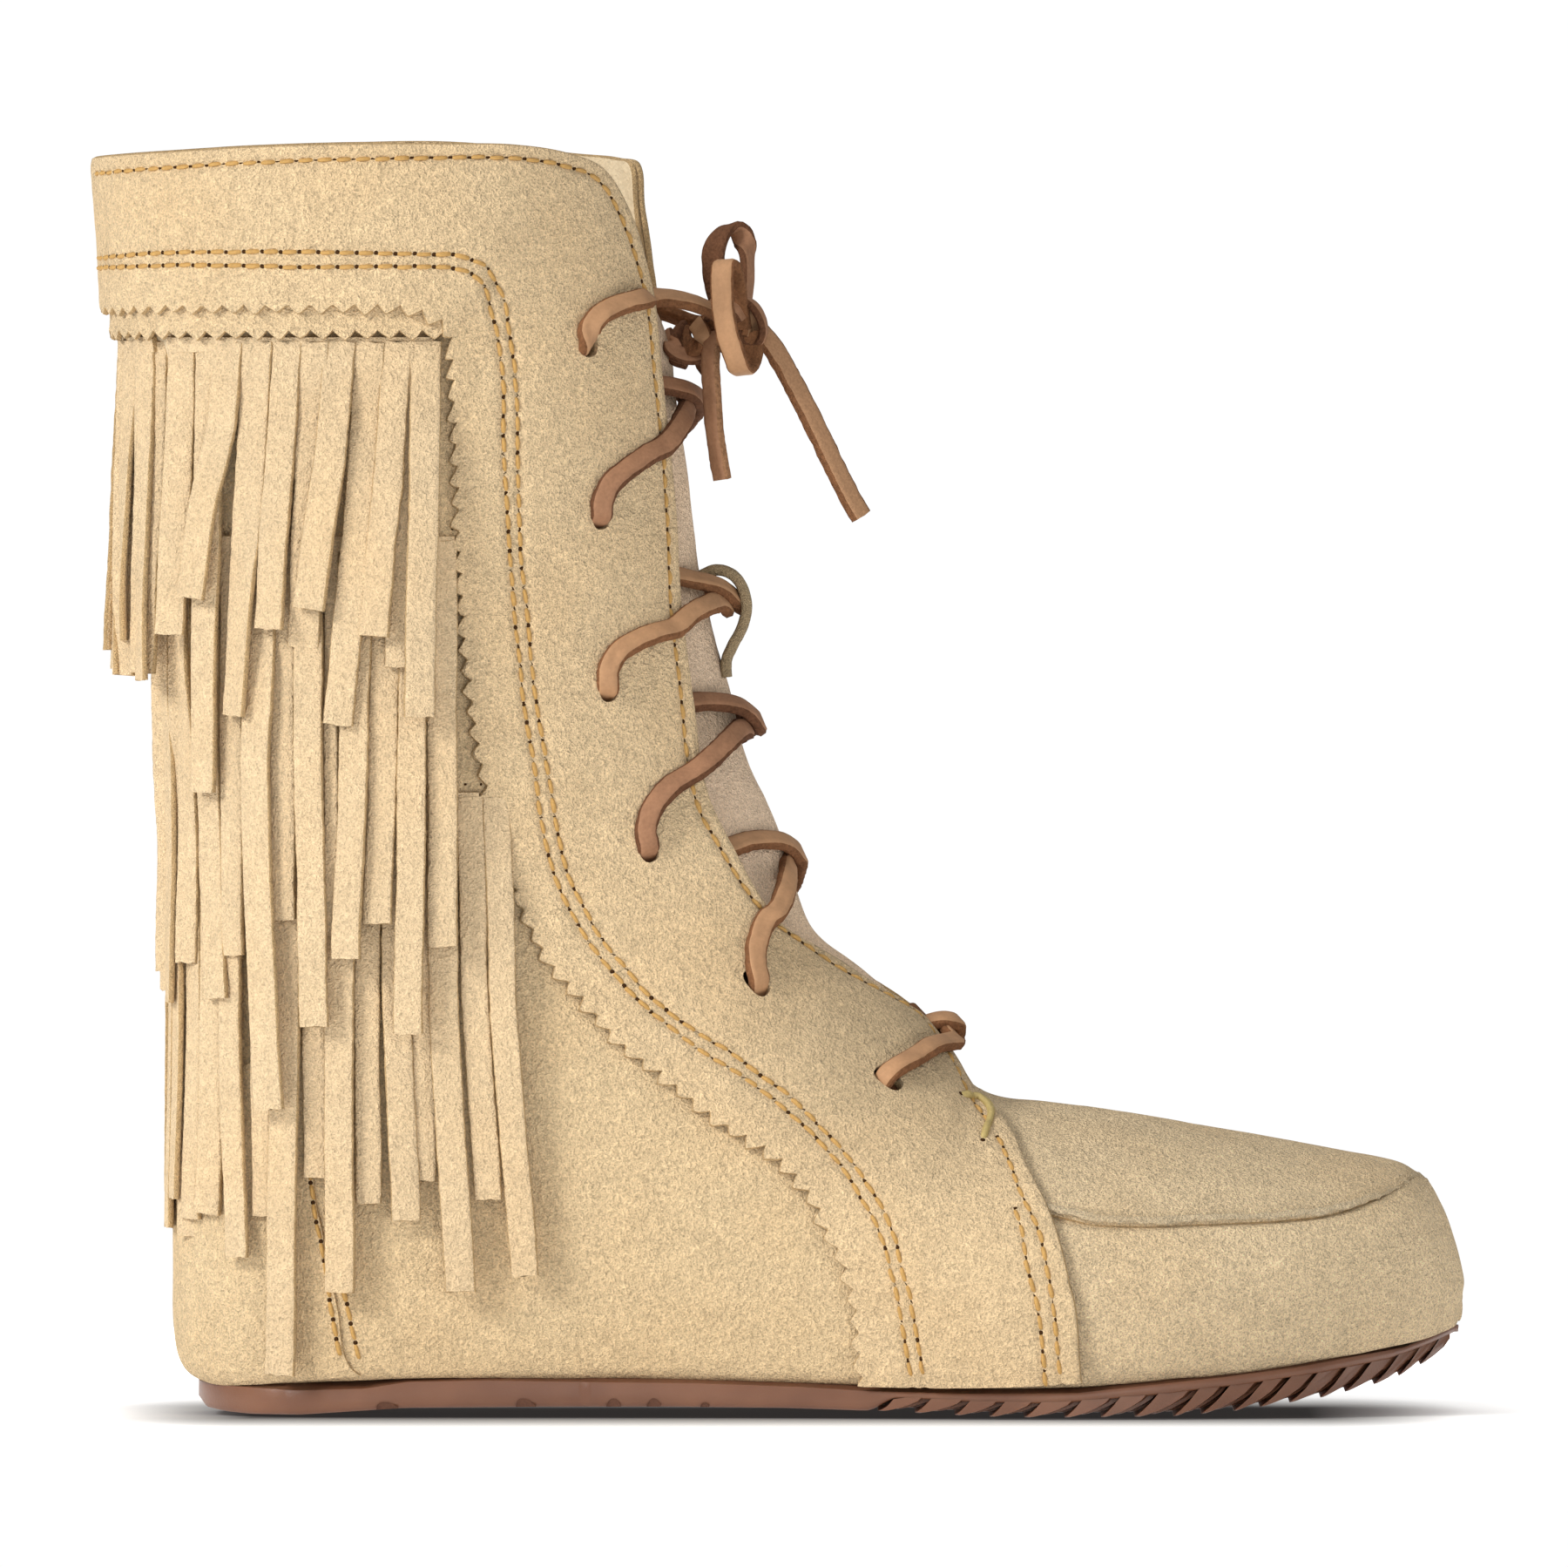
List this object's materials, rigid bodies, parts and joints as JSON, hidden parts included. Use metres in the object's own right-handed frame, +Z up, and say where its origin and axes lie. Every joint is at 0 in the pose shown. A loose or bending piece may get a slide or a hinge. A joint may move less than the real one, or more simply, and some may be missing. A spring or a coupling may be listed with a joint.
{
  "type": "moccasin boot",
  "caption": "Calf-height suede moccasin boot with a laced front, tiered leather fringe, pinked panels and a lugged gum sole.",
  "frame": {"origin": "middle of the flat heel patch under the outsole", "axes": "+X towards the toe, +Y towards the inner (medial) side, +Z up; the outer side faces -Y"},
  "size_m": [0.2782, 0.0992, 0.2568],
  "materials": {
    "suede": "matte brushed suede, sand beige, short fuzzy nap",
    "fringe": "matte brushed suede, sand beige, cut edges fuzzy",
    "tongue_suede": "matte suede, paler and pinker than the upper",
    "lining": "smooth matte lining leather, light tan",
    "outsole_rubber": "semi-gloss gum rubber, warm brown",
    "board": "pressed fibre board, matte tan",
    "footbed": "soft matte footbed cover over foam",
    "lace_leather": "tan lace, smooth outer face and darker fuzzy flesh side",
    "thread": "twisted waxed thread, golden olive"
  },
  "bodies": {
    "boot": {"front_panel_lateral": "suede", "facing_lining_lateral": "lining", "rear_quarter_lateral": "suede", "lining_lateral": "lining", "bar_tack_thread_lateral": "thread", "front_panel_medial": "suede", "facing_lining_medial": "lining", "rear_quarter_medial": "suede", "lining_medial": "lining", "bar_tack_thread_medial": "thread", "heel_panel": "suede", "heel_counter": "board", "toe_plug": "suede", "toe_wall": "suede", "vamp_lining": "lining", "tongue": "tongue_suede", "pinked_header_strip": "suede", "outsole": "outsole_rubber", "sole_filler": "footbed", "insole_board": "board", "footbed": "footbed", "lace": "lace_leather", "lace_knot": "lace_leather", "tongue_lace_keeper": "thread"},
    "fringe_upper_lateral": {"fringe_upper_lateral": "fringe"},
    "fringe_upper_medial": {"fringe_upper_medial": "fringe"},
    "fringe_upper_back": {"fringe_upper_back": "fringe"},
    "fringe_middle_lateral": {"fringe_middle_lateral": "fringe"},
    "fringe_middle_medial": {"fringe_middle_medial": "fringe"},
    "fringe_middle_back": {"fringe_middle_back": "fringe"},
    "fringe_lower_lateral": {"fringe_lower_lateral": "fringe"},
    "fringe_lower_medial": {"fringe_lower_medial": "fringe"},
    "fringe_lower_back": {"fringe_lower_back": "fringe"},
    "bow_loop_front": {"bow_loop_front": "lace_leather"},
    "bow_loop_back": {"bow_loop_back": "lace_leather"},
    "lace_end_short": {"lace_end_short": "lace_leather"},
    "lace_end_long": {"lace_end_long": "lace_leather"}
  },
  "joints": [
    {"name": "swing_fringe_upper_lateral", "type": "hinge", "parent": "boot", "child": "fringe_upper_lateral", "pos_m": [0.00182, -0.0371, 0.21715], "axis": [-0.9515, 0.3076, 0], "range_deg": [0, 35]},
    {"name": "swing_fringe_upper_medial", "type": "hinge", "parent": "boot", "child": "fringe_upper_medial", "pos_m": [0.00182, 0.0371, 0.21715], "axis": [0.9515, 0.3076, 0], "range_deg": [0, 35]},
    {"name": "swing_fringe_upper_back", "type": "hinge", "parent": "boot", "child": "fringe_upper_back", "pos_m": [-0.03369, 0, 0.21698], "axis": [0, 1, 0], "range_deg": [0, 35]},
    {"name": "swing_fringe_middle_lateral", "type": "hinge", "parent": "boot", "child": "fringe_middle_lateral", "pos_m": [0.0068, -0.0358, 0.17693], "axis": [-0.9559, 0.2937, 0], "range_deg": [0, 28]},
    {"name": "swing_fringe_middle_medial", "type": "hinge", "parent": "boot", "child": "fringe_middle_medial", "pos_m": [0.0068, 0.0358, 0.17693], "axis": [0.9559, 0.2937, 0], "range_deg": [0, 28]},
    {"name": "swing_fringe_middle_back", "type": "hinge", "parent": "boot", "child": "fringe_middle_back", "pos_m": [-0.02792, 0, 0.1768], "axis": [0, 1, 0], "range_deg": [0, 28]},
    {"name": "swing_fringe_lower_lateral", "type": "hinge", "parent": "boot", "child": "fringe_lower_lateral", "pos_m": [0.01118, -0.03423, 0.12524], "axis": [-0.971, 0.2392, 0], "range_deg": [0, 23]},
    {"name": "swing_fringe_lower_medial", "type": "hinge", "parent": "boot", "child": "fringe_lower_medial", "pos_m": [0.01118, 0.03423, 0.12524], "axis": [0.971, 0.2392, 0], "range_deg": [0, 23]},
    {"name": "swing_fringe_lower_back", "type": "hinge", "parent": "boot", "child": "fringe_lower_back", "pos_m": [-0.02398, 0, 0.12524], "axis": [0, 1, 0], "range_deg": [0, 23]},
    {"name": "swing_bow_loop_front", "type": "hinge", "parent": "boot", "child": "bow_loop_front", "pos_m": [0.0908, -0.002, 0.2194], "axis": [0, 1, 0], "range_deg": [-8, 8]},
    {"name": "swing_bow_loop_back", "type": "hinge", "parent": "boot", "child": "bow_loop_back", "pos_m": [0.0908, -0.002, 0.2194], "axis": [0, 1, 0], "range_deg": [-8, 8]},
    {"name": "swing_lace_end_short", "type": "hinge", "parent": "boot", "child": "lace_end_short", "pos_m": [0.0908, -0.002, 0.2194], "axis": [0, 1, 0], "range_deg": [-8, 6]},
    {"name": "swing_lace_end_long", "type": "hinge", "parent": "boot", "child": "lace_end_long", "pos_m": [0.0908, -0.002, 0.2194], "axis": [0, 1, 0], "range_deg": [-12, 12]}
  ],
  "couplings": [
    {"joint": "swing_fringe_middle_lateral", "follows": "swing_fringe_upper_lateral", "ratio": 0.8},
    {"joint": "swing_fringe_lower_lateral", "follows": "swing_fringe_upper_lateral", "ratio": 0.65},
    {"joint": "swing_fringe_middle_medial", "follows": "swing_fringe_upper_medial", "ratio": 0.8},
    {"joint": "swing_fringe_lower_medial", "follows": "swing_fringe_upper_medial", "ratio": 0.65},
    {"joint": "swing_fringe_middle_back", "follows": "swing_fringe_upper_back", "ratio": 0.8},
    {"joint": "swing_fringe_lower_back", "follows": "swing_fringe_upper_back", "ratio": 0.65}
  ]
}
